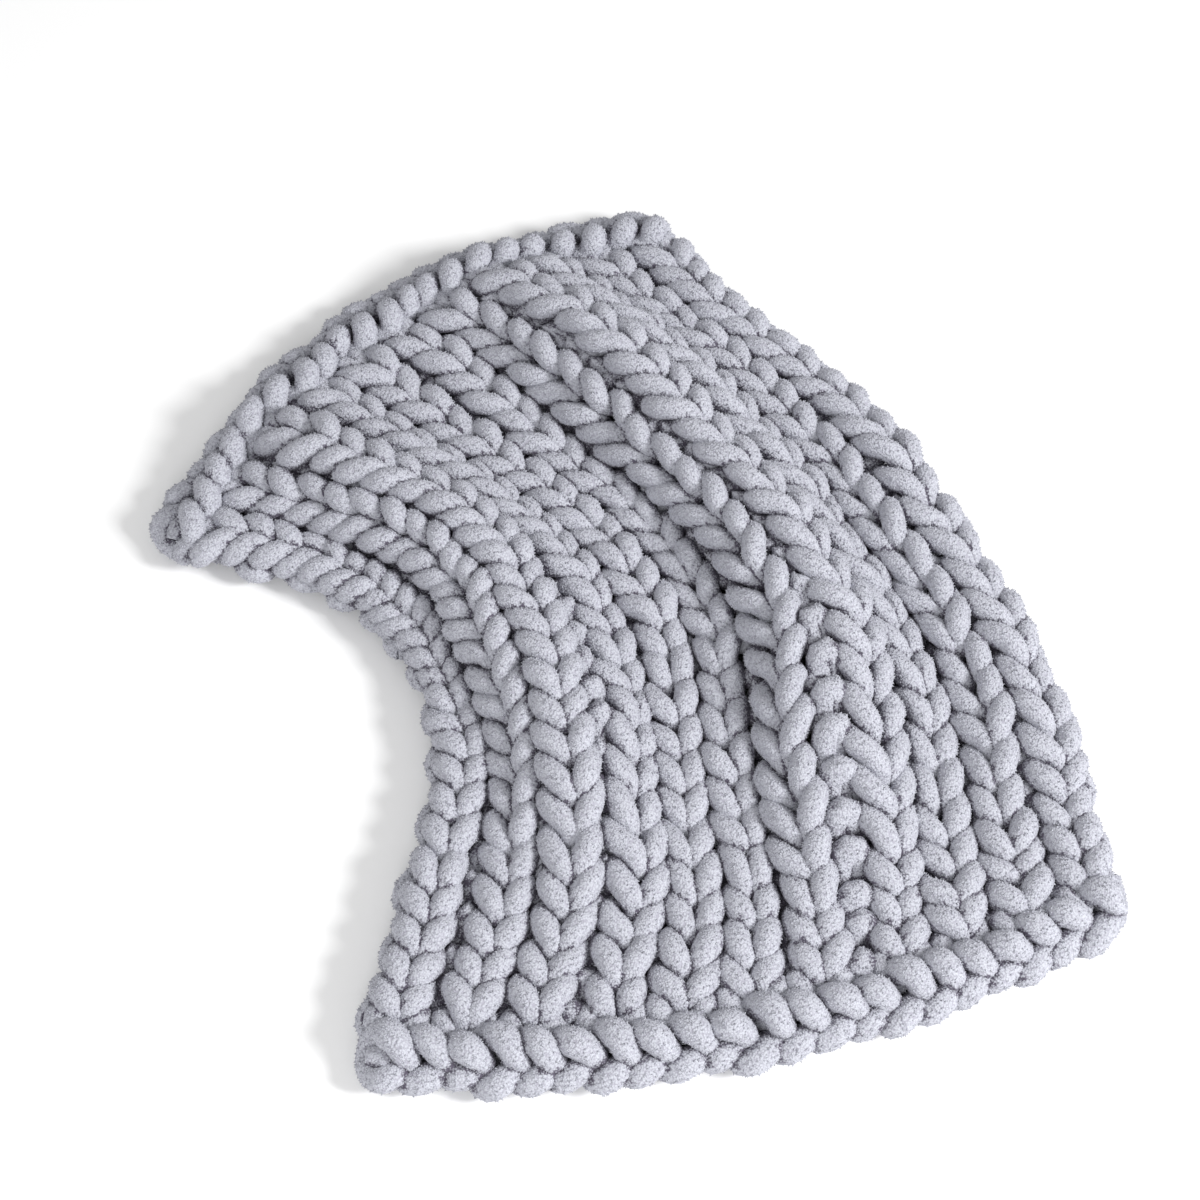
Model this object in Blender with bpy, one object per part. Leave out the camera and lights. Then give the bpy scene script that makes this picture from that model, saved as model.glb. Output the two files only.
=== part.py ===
"""Chunky rib-knit blanket, laid out loosely: one thick sheet with raised ribs, soft folds and small gaps.

Units are metres and +Z is up. The blanket lies on z = 0 with its front hem towards -Y, and the origin is at
the middle of its outline, at floor level. Run with: blender --background --python part.py
"""

import math

import bmesh
import bpy

# The knitting: 11 knit ribs with 10 furrows of purl stitches between them, and 26 courses from hem to hem.
RIBS = 11
COURSES = 26
COURSE_LENGTH = 0.056
HEM_DEPTH = 0.034
RIB_WIDTH = 0.086
# The furrows from left to right. Some are stretched wide and some are drawn tight.
FURROW_WIDTHS = (0.022, 0.016, 0.034, 0.018, 0.018, 0.022, 0.044, 0.018, 0.022, 0.026)
CLOTH_WIDTH = RIBS * RIB_WIDTH + sum(FURROW_WIDTHS)
CLOTH_LENGTH = COURSES * COURSE_LENGTH + 2 * HEM_DEPTH
# Where the cloth is drawn in, the ribs give this share of their part and the furrows give the rest.
RIB_GIVE = 0.72

# Heights of the upper face above the underside, between two stitches and over the middle of one, and how far
# each kind of line is ahead of its course, which slants the legs of a knit stitch to its V.
LINE_COLUMNS = ("between_stitches", "over_stitch", "slant")
LINE_FORM = {
    "leg": (0.066, 0.077, 0.002),
    "crease": (0.057, 0.061, -0.009),
    "foot": (0.044, 0.050, 0.006),
    "purl": (0.036, 0.052, 0.000),
}
HEM_CREST = 0.068
HEM_DIP = 0.060
HEM_EDGE = 0.034
SIDE_EDGE = 0.036
# How much the two legs of a knit stitch spread from its lower to its upper end.
LEG_LEAN = 0.004

# How the cloth lies, from the front hem to the far one. Turn is how far a course is turned to the left, in
# degrees. Bow is how far the middle of a course lies ahead of its ends, and is below zero towards the front.
LAY_COLUMNS = ("share", "middle_x", "middle_y", "width", "turn", "bow")
LAY = (
    (0.00, 0.211, -0.672, 1.150, 12.0, -0.091),
    (0.16, 0.226, -0.478, 1.040, 12.0, -0.058),
    (0.36, 0.211, -0.190, 0.940, 15.0, -0.019),
    (0.54, 0.120, 0.048, 0.880, 23.0, 0.010),
    (0.70, -0.008, 0.200, 0.870, 31.0, 0.043),
    (0.85, -0.150, 0.308, 0.925, 36.0, 0.100),
    (1.00, -0.296, 0.404, 1.040, 39.0, 0.170),
)

# Soft ridges where the cloth is lifted off the floor, each along the ribs. Across runs from -0.5 at the left
# edge to 0.5 at the right one, and is given at the ridge's two ends and halfway.
FOLD_COLUMNS = ("from_share", "to_share", "across_near", "across_mid", "across_far", "height", "half_width")
FOLDS = (
    (0.06, 1.10, -0.200, -0.320, -0.200, 0.095, 0.165),
    (0.04, 1.10, 0.120, 0.150, 0.200, 0.110, 0.175),
    (0.08, 0.74, 0.420, 0.410, 0.430, 0.040, 0.110),
)
# The foot of a ridge runs out softly: the cloth lies flat where a ridge would lift it by less than the first.
FOLD_LIES_FLAT = 0.006
FOLD_FOOT = 0.014
# A ridge swells from nothing to its height over this share of its run, at both ends.
FOLD_SWELL_SHARE = 0.30
# The ribs wander a little to each side on their way, each a little later than its neighbour.
SWAY = 0.007
SWAY_LENGTH = 0.62
SWAY_WAVES_ACROSS = 1.4
# The two hems bulge at each rib.
HEM_SCALLOP = 0.010

# Through gaps between two purl bumps of a furrow, where it is stretched open. Furrows and courses count from 0.
GAP_COLUMNS = ("furrow", "first_course", "last_course", "step")
GAPS = (
    (0, 1, 5, 2),
    (2, 1, 13, 2),
    (5, 1, 5, 2),
    (6, 1, 15, 2),
    (9, 1, 9, 2),
    (2, 21, 25, 2),
    (6, 20, 24, 2),
)
GAP_RIM = 0.0020

CLOTH_COLOUR = (0.37, 0.37, 0.43, 1.0)
CLOTH_ROUGHNESS = 0.95
FLAT_ANGLE = math.radians(3.0)


def smooth_step(value):
    """0 to 1 with soft ends."""
    value = min(1.0, max(0.0, value))
    return value * value * (3.0 - 2.0 * value)


def lay_at(share):
    """The row of the lay table at a share of the length, on a smooth curve through its rows."""
    rows = [dict(zip(LAY_COLUMNS, row)) for row in LAY]
    index = 0
    while index < len(rows) - 2 and share > rows[index + 1]["share"]:
        index += 1
    near, far = rows[index], rows[index + 1]
    before, after = rows[max(index - 1, 0)], rows[min(index + 2, len(rows) - 1)]
    span = far["share"] - near["share"]
    t = (share - near["share"]) / span
    found = {}
    for name in LAY_COLUMNS[1:]:
        slope_near = (far[name] - before[name]) / (far["share"] - before["share"]) * span
        slope_far = (after[name] - near[name]) / (after["share"] - near["share"]) * span
        found[name] = (
            (2 * t**3 - 3 * t**2 + 1) * near[name]
            + (t**3 - 2 * t**2 + t) * slope_near
            + (3 * t**2 - 2 * t**3) * far[name]
            + (t**3 - t**2) * slope_far
        )
    return found


def across_stations():
    """The lines that run the length of the cloth, left to right: (kind, rib or furrow number, share)."""
    lines = []
    for rib in range(RIBS):
        lines += [("foot", rib, 0.0), ("leg", rib, 0.25), ("crease", rib, 0.5), ("leg", rib, 0.75)]
        lines.append(("foot", rib, 1.0))
        if rib < RIBS - 1:
            lines.append(("purl", rib, 0.5))
    return lines


def along_stations():
    """The lines across the cloth: (kind, distance from the front edge)."""
    lines = [("edge", 0.0), ("hem", HEM_DEPTH * 0.5)]
    for half in range(2 * COURSES + 1):
        kind = "join" if half % 2 == 0 else "stitch"
        lines.append((kind, HEM_DEPTH + half * COURSE_LENGTH / 2))
    lines += [("hem", CLOTH_LENGTH - HEM_DEPTH * 0.5), ("edge", CLOTH_LENGTH)]
    return lines


def place_across(line, width):
    """How far a line lies from the cloth's middle where the cloth is drawn in to this width."""
    kind, number, share = line
    rib = RIB_WIDTH * (1.0 - RIB_GIVE * (1.0 - width / CLOTH_WIDTH))
    furrow_scale = (width - RIBS * rib) / sum(FURROW_WIDTHS)
    left = number * rib + furrow_scale * sum(FURROW_WIDTHS[:number])
    if kind == "purl":
        left += rib + share * furrow_scale * FURROW_WIDTHS[number]
    else:
        left += share * rib
    return left - width / 2


def outward(line):
    """-1 on the left legs of the rib, 1 on the right ones, and 0 on its crease and in the furrows."""
    return 0 if line[0] in ("purl", "crease") else math.copysign(1, line[2] - 0.5)


def relief(line, row_kind, outermost):
    """Height of the upper face above the underside."""
    if row_kind == "edge":
        return HEM_EDGE
    if outermost:
        return SIDE_EDGE
    if row_kind == "hem":
        return HEM_DIP if line[0] in ("crease", "purl") else HEM_CREST
    form = dict(zip(LINE_COLUMNS, LINE_FORM[line[0]]))
    return form["over_stitch"] if row_kind == "stitch" else form["between_stitches"]


def stitch_shift(line, row):
    """Sideways and lengthways shift of a point, for the V of the stitches and the bulges of the hems."""
    row_kind, along = row
    if row_kind == "edge":
        bulge = 0.0 if line[0] in ("purl", "foot") else HEM_SCALLOP
        return 0.0, math.copysign(bulge, along - CLOTH_LENGTH / 2)
    if row_kind == "hem" or along in (HEM_DEPTH, CLOTH_LENGTH - HEM_DEPTH):
        return 0.0, 0.0
    sideways = outward(line) * LEG_LEAN * (0.5 if row_kind == "stitch" else -0.5)
    return sideways, dict(zip(LINE_COLUMNS, LINE_FORM[line[0]]))["slant"]


def lift(share, across, width):
    """Height of the underside above the floor, from the folds."""
    height = 0.0
    for row in FOLDS:
        fold = dict(zip(FOLD_COLUMNS, row))
        run = (share - fold["from_share"]) / (fold["to_share"] - fold["from_share"])
        if not 0.0 < run < 1.0:
            continue
        middle = (
            (1 - run) * (1 - 2 * run) * fold["across_near"]
            + 4 * run * (1 - run) * fold["across_mid"]
            + run * (2 * run - 1) * fold["across_far"]
        )
        away = min(1.0, abs(across - middle) * width / fold["half_width"])
        swell = smooth_step(run / FOLD_SWELL_SHARE) * smooth_step((1.0 - run) / FOLD_SWELL_SHARE)
        height += fold["height"] * swell * 0.5 * (1.0 + math.cos(math.pi * away))
    raised = max(0.0, height - FOLD_LIES_FLAT)
    return raised * raised / (raised + FOLD_FOOT)


def underside_point(line, row):
    """Where a crossing of two lines lies, on the underside of the cloth."""
    sideways_shift, along_shift = stitch_shift(line, row)
    share = (row[1] + along_shift) / CLOTH_LENGTH
    lay = lay_at(share)
    sideways = place_across(line, lay["width"]) + sideways_shift
    across = sideways / lay["width"]
    sideways += SWAY * math.sin(2 * math.pi * (row[1] / SWAY_LENGTH + SWAY_WAVES_ACROSS * across))
    ahead = lay["bow"] * (1.0 - 4.0 * across * across)
    turn = math.radians(lay["turn"])
    x = lay["middle_x"] + sideways * math.cos(turn) - ahead * math.sin(turn)
    y = lay["middle_y"] + sideways * math.sin(turn) + ahead * math.cos(turn)
    return x, y, lift(share, across, lay["width"])


def is_gap(column, row, lines, rows):
    """Whether the square to the right of this line and past this row belongs to one of the through gaps."""
    if rows[row][0] != "stitch" or "purl" not in (lines[column][0], lines[column + 1][0]):
        return False
    furrow, course = lines[column][1], (row - 2) // 2
    for entry in GAPS:
        gap = dict(zip(GAP_COLUMNS, entry))
        courses = range(gap["first_course"], gap["last_course"] + 1, gap["step"])
        if furrow == gap["furrow"] and course in courses:
            return True
    return False


def blanket_mesh():
    """The blanket's mesh: the two sets of lines as a grid laid on its folds, drawn up to its thickness."""
    lines, rows = across_stations(), along_stations()
    last_column, last_row = len(lines) - 1, len(rows) - 1
    shape = bmesh.new()
    bmesh.ops.create_grid(shape, x_segments=last_column, y_segments=last_row, size=0.5)
    gaps = []
    for face in shape.faces:
        column = round((min(vert.co.x for vert in face.verts) + 0.5) * last_column)
        row = round((min(vert.co.y for vert in face.verts) + 0.5) * last_row)
        if is_gap(column, row, lines, rows):
            gaps.append(face)
    thickness = shape.verts.layers.float.new("thickness")
    for vert in shape.verts:
        column = round((vert.co.x + 0.5) * last_column)
        row = round((vert.co.y + 0.5) * last_row)
        vert[thickness] = relief(lines[column], rows[row][0], column in (0, last_column))
        vert.co = underside_point(lines[column], rows[row])
    bmesh.ops.inset_region(
        shape, faces=gaps, thickness=GAP_RIM, use_even_offset=True, use_interpolate=True
    )
    bmesh.ops.delete(shape, geom=gaps, context="FACES")

    drawn_up = bmesh.ops.extrude_face_region(shape, geom=shape.faces[:], use_keep_orig=True)
    for element in drawn_up["geom"]:
        if isinstance(element, bmesh.types.BMVert):
            element.co.z += element[thickness]
    bmesh.ops.recalc_face_normals(shape, faces=shape.faces[:])
    mesh = bpy.data.meshes.new("knit_blanket")
    shape.to_mesh(mesh)
    shape.free()
    return mesh


def middle_outline(mesh):
    """Moves the mesh so that the middle of its outline is over the origin."""
    xs = [vert.co.x for vert in mesh.vertices]
    ys = [vert.co.y for vert in mesh.vertices]
    for vert in mesh.vertices:
        vert.co.x -= (min(xs) + max(xs)) / 2
        vert.co.y -= (min(ys) + max(ys)) / 2


def cloth_material():
    """Matt chenille yarn in a pale grey with a little lavender."""
    material = bpy.data.materials.new("plush_chenille_yarn")
    material.use_nodes = True
    shader = material.node_tree.nodes["Principled BSDF"]
    shader.inputs["Base Color"].default_value = CLOTH_COLOUR
    shader.inputs["Roughness"].default_value = CLOTH_ROUGHNESS
    shader.inputs["Metallic"].default_value = 0.0
    return material


def build_blanket(collection):
    """The blanket as one object, with the flat parts of its underside kept plain."""
    mesh = blanket_mesh()
    middle_outline(mesh)
    blanket = bpy.data.objects.new("knit_blanket", mesh)
    blanket.data.materials.append(cloth_material())
    collection.objects.link(blanket)
    plain = blanket.modifiers.new("plain flat underside", "DECIMATE")
    plain.decimate_type = "DISSOLVE"
    plain.angle_limit = FLAT_ANGLE


def main():
    for old in list(bpy.data.objects):
        bpy.data.objects.remove(old)
    collection = bpy.data.collections.new("chunky_knit_blanket")
    bpy.context.scene.collection.children.link(collection)
    build_blanket(collection)


main()
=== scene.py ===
"""Chunky rib-knit blanket laid out loosely on a pale floor, knitted stitch by stitch from plush yarn.

One yarn makes 26 courses of 11 knit ribs with 10 purl furrows between them. A chain of links binds each hem.
Units are metres and +Z is up. The blanket lies on z = 0 with its wide front hem towards -Y.
"""

import math

import bpy
import numpy as np
from bpy.props import FloatProperty, FloatVectorProperty, IntProperty, PointerProperty
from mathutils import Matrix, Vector


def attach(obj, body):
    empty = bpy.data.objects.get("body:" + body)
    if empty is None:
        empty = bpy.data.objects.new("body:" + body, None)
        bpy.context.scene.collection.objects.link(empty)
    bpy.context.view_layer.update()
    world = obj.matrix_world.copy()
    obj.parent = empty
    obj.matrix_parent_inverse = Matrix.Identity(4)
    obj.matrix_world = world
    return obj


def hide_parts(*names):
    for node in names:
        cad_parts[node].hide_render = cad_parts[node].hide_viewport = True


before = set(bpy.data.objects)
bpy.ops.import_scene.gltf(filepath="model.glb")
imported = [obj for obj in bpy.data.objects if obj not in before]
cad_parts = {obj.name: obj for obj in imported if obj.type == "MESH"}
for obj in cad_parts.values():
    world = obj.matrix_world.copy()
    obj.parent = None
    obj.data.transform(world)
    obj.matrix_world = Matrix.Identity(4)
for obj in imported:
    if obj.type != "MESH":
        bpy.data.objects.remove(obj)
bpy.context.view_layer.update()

bl_info = {
    "name": "Chunky Knit Blanket",
    "version": (1, 0, 0),
    "blender": (4, 5, 0),
    "location": "3D View > Sidebar > Blanket",
    "description": "Knits a thick chenille throw blanket in a rib and lays it out on a pale floor",
    "category": "Add Mesh",
}

# Names: the solid that the pieces stand for, its finish, and what the pieces share.
NODE = "knit_blanket"
YARN_TREE = "Chenille yarn"
PILE_MATERIAL = "plush_chenille_pile"

# The knitting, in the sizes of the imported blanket: ribs of knit stitches, furrows of purl stitches, courses.
# Where the cloth is drawn in, a rib narrows by RIB_GIVE of what the cloth does, and the furrows by the rest.
RIBS = 11
WALES = 2 * RIBS - 1
COURSES = 26
COURSE_LENGTH = 0.056
HEM_DEPTH = 0.034
RIB_WIDTH = 0.086
FURROW_WIDTHS = np.array((0.022, 0.016, 0.034, 0.018, 0.018, 0.022, 0.044, 0.018, 0.022, 0.026))
CLOTH_WIDTH = RIBS * RIB_WIDTH + FURROW_WIDTHS.sum()
CLOTH_LENGTH = COURSES * COURSE_LENGTH + 2 * HEM_DEPTH
RIB_GIVE = 0.72

# How the cloth lies, from the front hem to the far one. Turn is in degrees to the left, and bow is how far
# the middle of a course lies ahead of its ends.
LAY_COLUMNS = ("share", "middle_x", "middle_y", "width", "turn", "bow")
LAY = np.array((
    (0.00, 0.211, -0.672, 1.150, 12.0, -0.091),
    (0.16, 0.226, -0.478, 1.040, 12.0, -0.058),
    (0.36, 0.211, -0.190, 0.940, 15.0, -0.019),
    (0.54, 0.120, 0.048, 0.880, 23.0, 0.010),
    (0.70, -0.008, 0.200, 0.870, 31.0, 0.043),
    (0.85, -0.150, 0.308, 0.925, 36.0, 0.100),
    (1.00, -0.296, 0.404, 1.040, 39.0, 0.170),
))

# Soft ridges along the ribs, where the cloth is lifted off the floor. Across is where a ridge runs, as a
# share of the cloth's width from its middle line. It rises and falls in a share of its own length.
FOLD_COLUMNS = ("from_share", "to_share", "across_near", "across_mid", "across_far", "height", "half_width")
FOLDS = (
    (0.06, 1.10, -0.200, -0.320, -0.200, 0.095, 0.165),
    (0.04, 1.10, 0.120, 0.150, 0.200, 0.110, 0.175),
    (0.08, 0.74, 0.420, 0.410, 0.430, 0.040, 0.110),
)
FOLD_SWELL_SHARE = 0.30
# Cloth raised less than this lies flat, and above it the rise begins softly, over the height of the foot.
FOLD_LIES_FLAT = 0.006
FOLD_FOOT = 0.014
# The ribs sway a little from side to side.
SWAY = 0.007
SWAY_LENGTH = 0.62
SWAY_WAVES_ACROSS = 1.4

# Where a furrow is stretched open: its number, the middle and half of the stretch as shares of the cloth's
# length, and how much wider it is there.
OPEN_COLUMNS = ("furrow", "middle", "half", "wider")
OPEN_FURROWS = (
    (0, 0.20, 0.14, 1.2),
    (2, 0.42, 0.18, 1.6),
    (6, 0.27, 0.26, 1.8),
    (8, 0.34, 0.14, 0.6),
    (4, 0.86, 0.13, 1.3),
    (1, 0.90, 0.12, 1.0),
)

# Widths of a furrow at which its bumps begin to stand up, and from which they stand at their highest.
PURL_WIDTHS = (0.014, 0.034)
# Fullness of a purl bump at its ends, and how much fuller than that its middle is.
PURL_END_FULLNESS = -0.9
PURL_SWING = 1.9
# How far the heads of purl stitches lie to the left, as a share of what those of knit stitches do.
PURL_SKEW_SHARE = 0.4
# How much the lean, skew, reach and rise of a stitch differ, as shares of the unevenness.
STITCH_SPREADS = (0.8, 1.5, 0.5, 0.7)

# One link of the chain that binds a hem, worked towards the left. Ahead is in links, inward is from the
# chain's middle line towards the cloth, and height is above the floor. Fullness runs from -1 at a loop's
# ends to about 1 in a leg's middle.
LINK_COLUMNS = ("ahead", "inward", "height", "fullness")
LINK_FORM = (
    (0.00, -0.004, 0.022, -1.0),
    (0.24, -0.006, 0.032, -0.2),
    (0.56, -0.016, 0.038, 0.7),
    (0.92, -0.025, 0.033, 0.2),
    (1.18, -0.017, 0.024, -0.8),
    (1.28, 0.002, 0.021, -1.0),
    (1.22, 0.022, 0.030, -0.8),
    (0.98, 0.036, 0.052, 0.3),
    (0.60, 0.025, 0.069, 1.3),
    (0.26, 0.008, 0.056, 0.2),
    (0.06, 0.002, 0.032, -1.0),
    (0.50, 0.001, 0.021, -1.0),
)
# The chain's end, tucked up into its last link.
LINK_TAIL = (
    (0.78, 0.004, 0.041, 0.8),
    (1.12, 0.006, 0.034, 0.5),
)

# How much the length, depth and height of a link differ, as shares of the unevenness.
LINK_SPREADS = np.array((0.15, 1.0, 0.1))

# Links in a hem's chain, how far it keeps from the corners, and how far its last link reaches on, in links.
HEM_LINKS = 21
HEM_SETBACK = 0.015
CHAIN_END_LINKS = 0.3
# The chains, and whether each binds the far hem.
HEMS = (("front_hem_chain", False), ("far_hem_chain", True))

# Points of a stitch's loop along the yarn, and of the turn from one course to the next at a selvedge.
POINTS_A_STITCH = 20
POINTS_A_TURN = 6
# Where a leg of a rib is fullest, as a share of the stitch from its nearer bar.
FULLEST = 0.28
# How strongly the yarn thins where the cloth is drawn in.
SQUEEZE_POWER = 0.6
# The yarn strays from its place in this many slow waves, of about this length in metres, and by these
# shares of its drift in x, y and z.
STRAY_WAVES = 7
STRAY_LENGTH = 0.17
STRAY_SHARES = np.array((1.0, 1.0, 0.5))
# The courses are made as this many pieces, so that none grows too large.
BANDS = 5
# Seed of the form, paired with a course's number, or for the hems with HEM_SEED and the number after it.
FORM_SEED = 11
HEM_SEED = 100
# Step, in metres, at which the slope of the laid cloth is felt, and points on each side of its outline.
PROBE = 0.002
OUTLINE_POINTS = 400

# The studio: half the side of the floor, and the lights, which look at the origin.
FLOOR_REACH = 12.0
LIGHT_COLUMNS = ("name", "place", "size")
LIGHTS = (
    ("key_light", (6.2, -2.2, 4.6), 2.2),
    ("fill_light", (-1.2, -3.4, 2.6), 2.5),
)

# Rays that feel how far a place on the yarn is hidden, which sets how much shade is painted on it between
# strands: what is added to its normal, their length, and how far off the surface they start.
RAY_SLANTS = (
    (0.0, 0.0, 0.0), (0.8, 0.0, 0.3), (-0.8, 0.0, 0.3), (0.0, 0.8, 0.3), (0.0, -0.8, 0.3),
    (0.5, 0.5, 0.5), (-0.5, 0.5, 0.5), (0.5, -0.5, 0.5), (-0.5, -0.5, 0.5),
)
RAY_REACH = 0.045
RAY_START = 0.002
# Tufts aren't set where another strand is nearer than this, or where the yarn faces down by more than this.
TUFT_ROOM = 0.020
TUFT_FACES_DOWN = -0.25
# A tuft is a thin pyramid of this many sides, and this share of it is sunk in the yarn. It leans by up to
# its tilt and is turned about its own length, in radians, and it is smaller or larger within its sizes.
TUFT_SIDES = 3
TUFT_SUNK_SHARE = 0.3
TUFT_TILT = 0.5
TUFT_TURN = 3.1
TUFT_SIZES = (0.7, 1.35)

# The pile's pattern, in metres. Tufts stand 3 to 4 mm apart. The fibres at their tips are too fine to show
# and are drawn at about 2 mm. Soft patches as wide as a finger show how the pile was stroked.
TUFT_SPACING = 0.0034
FIBRE_GRAIN = 0.0018
PATCH_SIZE = 0.02
# Where a tuft's top ends and where the deepest pile, painted as shade, begins, in tuft spacings from its
# middle.
TUFT_SLOPE = (0.35, 0.85)
# How much the fibres lighten and darken the pile, and how light the darkest and the lightest patch are.
MOTTLING = 0.4
PATCH_LIGHTNESS = (0.90, 1.10)
# How hidden a place is where the shade painted between strands begins and where it is darkest. That painted
# shade is felt more in the deep pile and less at the tips, by these factors.
CREASE_SHADE_SHARES = (0.06, 0.45)
CREASE_IN_DEPTHS = 1.6
CREASE_AT_TIPS = 0.4
# Depth of the pile's relief, and the fibres' share in it.
PILE_RELIEF = 0.0009
FIBRE_RELIEF_SHARE = 0.5
SHEEN_COLOUR = "#e4e4f0"
SKY_COLOUR = "#ffffff"

# Sockets that share their names with others of their node, by number: the colours that a Mix node takes and
# gives, and the limits of a random number and the number.
MIX_A, MIX_B, MIX_RESULT = 6, 7, 2
RANDOM_MIN, RANDOM_MAX, RANDOM_RESULT = 2, 3, 1

# Inputs of the yarn's node tree, and the kind of each. Each takes the setting of its own name.
YARN_SIZES = (
    ("Thickness", "NodeSocketFloat"), ("Swell", "NodeSocketFloat"), ("Lump Size", "NodeSocketFloat"),
    ("Lump Height", "NodeSocketFloat"), ("Ring Spacing", "NodeSocketFloat"), ("Sides", "NodeSocketInt"),
    ("Tuft Length", "NodeSocketFloat"), ("Tuft Width", "NodeSocketFloat"),
    ("Tuft Density", "NodeSocketFloat"), ("Seed", "NodeSocketInt"),
)


class ChenilleSettings(bpy.types.PropertyGroup):
    """Sizes of the yarn and its pile"""

    thickness: FloatProperty(
        name="Thickness", description="Thickness of the yarn over its pile", default=0.042, unit="LENGTH"
    )
    swell: FloatProperty(
        name="Swell", description="How much fuller a leg is in its middle than at its ends", default=0.09
    )
    lump_size: FloatProperty(
        name="Lump size", description="Length of the soft lumps in the pile", default=0.016, unit="LENGTH"
    )
    lump_height: FloatProperty(
        name="Lump height", description="How far the lumps stand up", default=0.0030, unit="LENGTH"
    )
    ring_spacing: FloatProperty(
        name="Ring spacing", description="Distance between rings of points", default=0.0095, unit="LENGTH"
    )
    sides: IntProperty(name="Sides", description="Points in each ring", default=14, min=6)
    tuft_length: FloatProperty(
        name="Tuft length", description="Length of a tuft of pile", default=0.0044, unit="LENGTH"
    )
    tuft_width: FloatProperty(
        name="Tuft width", description="Thickness of a tuft at its root", default=0.0046, unit="LENGTH"
    )
    tuft_density: FloatProperty(
        name="Tuft density", description="Tufts on a square metre of the yarn's surface", default=24000.0
    )
    seed: IntProperty(name="Seed", description="Seed of the lumps and tufts", default=4)


class KnitSettings(bpy.types.PropertyGroup):
    """Form of the stitches"""

    lean: FloatProperty(
        name="Lean", description="How far the legs spread to their V, as a share of the stitch", default=0.24
    )
    purl_lean: FloatProperty(
        name="Purl lean", description="How far the legs of the furrows spread, as a share of the stitch",
        default=0.13,
    )
    skew: FloatProperty(
        name="Skew", description="How far the heads of knit stitches lie to the left", default=0.011,
        unit="LENGTH",
    )
    overlap: FloatProperty(
        name="Overlap", description="How far a loop reaches through the next one", default=0.034,
        unit="LENGTH",
    )
    rise: FloatProperty(
        name="Rise", description="How far the legs of the ribs stand above the bars", default=0.0300,
        unit="LENGTH",
    )
    sink: FloatProperty(
        name="Sink", description="How far the legs of the furrows lie below the bars", default=0.0100,
        unit="LENGTH",
    )
    unevenness: FloatProperty(
        name="Unevenness", description="How much the stitches differ, as a share of their size", default=0.16
    )
    drift: FloatProperty(
        name="Drift", description="How far the yarn strays from its place", default=0.0035, unit="LENGTH"
    )
    purl_fullness: FloatProperty(
        name="Purl fullness", description="How much fuller the bumps of a wide furrow are, in swells",
        default=1.3,
    )
    selvedge_bulge: FloatProperty(
        name="Selvedge bulge", description="How far the yarn turns out at a side edge", default=0.010,
        unit="LENGTH",
    )
    hem_line: FloatProperty(
        name="Hem line", description="Distance of the chain's middle from the edge", default=0.020,
        unit="LENGTH",
    )
    hem_clearance: FloatProperty(
        name="Hem clearance", description="How far the loops keep from the chain's middle", default=0.032,
        unit="LENGTH",
    )
    hem_share: FloatProperty(
        name="Hem share", description="Height of the legs where they leave a hem, as a share of the rise",
        default=0.35,
    )
    purl_rise: FloatProperty(
        name="Purl rise", description="How far the bumps of a wide furrow stand up", default=0.019,
        unit="LENGTH",
    )


def linear(colour):
    """A colour in sRGB hex as the linear red, green, blue and alpha that shaders take."""
    parts = [int(colour[i:i + 2], 16) / 255 for i in (1, 3, 5)]
    return (*(c / 12.92 if c <= 0.04045 else ((c + 0.055) / 1.055) ** 2.4 for c in parts), 1.0)


class ColourSettings(bpy.types.PropertyGroup):
    """Colours of the yarn and the floor"""

    pile: FloatVectorProperty(
        name="Pile", description="Colour of the tips of the pile", default=linear("#b9bbc3"), size=4,
        subtype="COLOR",
    )
    # Painted shade: the darker colour that the pile is given deep between its tufts and towards their roots.
    depth: FloatVectorProperty(
        name="Depth", description="Colour deep between the tufts", default=linear("#a09faa"), size=4,
        subtype="COLOR",
    )
    # Painted shade: the dark colour that the yarn is given where it lies hidden between strands.
    crease: FloatVectorProperty(
        name="Crease", description="Colour of the yarn hidden between strands", default=linear("#544f5c"),
        size=4, subtype="COLOR",
    )
    floor: FloatVectorProperty(
        name="Floor", description="Colour of the floor", default=linear("#f6f6f6"), size=4, subtype="COLOR"
    )


class StageSettings(bpy.types.PropertyGroup):
    """The camera and the lights"""

    elevation: FloatProperty(
        name="Elevation", description="Height of the camera above the horizon", default=math.radians(60.0),
        unit="ROTATION",
    )
    distance: FloatProperty(
        name="Distance", description="Distance of the camera", default=3.8, unit="LENGTH"
    )
    lens: FloatProperty(
        name="Lens", description="Focal length in millimetres", default=71.55, unit="CAMERA"
    )
    key_power: FloatProperty(
        name="Key light", description="Power of the key light in watts", default=670.0, unit="POWER"
    )
    fill_power: FloatProperty(
        name="Fill light", description="Power of the fill light in watts", default=60.0, unit="POWER"
    )
    sky: FloatProperty(name="Sky", description="Strength of the light from all round", default=0.60)


def smooth_step(value):
    """A value kept between 0 and 1, with soft ends."""
    value = np.clip(value, 0.0, 1.0)
    return value * value * (3.0 - 2.0 * value)


def lay_at(share):
    """The columns of the lay table at each share of the length, on a smooth curve through its rows."""
    last = len(LAY) - 2
    index = np.clip(np.searchsorted(LAY[:, 0], share) - 1, 0, last)
    near, far = LAY[index], LAY[index + 1]
    before, after = LAY[np.maximum(index - 1, 0)], LAY[np.minimum(index + 2, last + 1)]
    span = far[:, :1] - near[:, :1]
    t = (share[:, None] - near[:, :1]) / span
    slope_near = (far - before) / (far[:, :1] - before[:, :1]) * span
    slope_far = (after - near) / (after[:, :1] - near[:, :1]) * span
    curve = (
        (2 * t**3 - 3 * t**2 + 1) * near
        + (t**3 - 2 * t**2 + t) * slope_near
        + (3 * t**2 - 2 * t**3) * far
        + (t**3 - t**2) * slope_far
    )
    return dict(zip(LAY_COLUMNS, curve.T))


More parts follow.
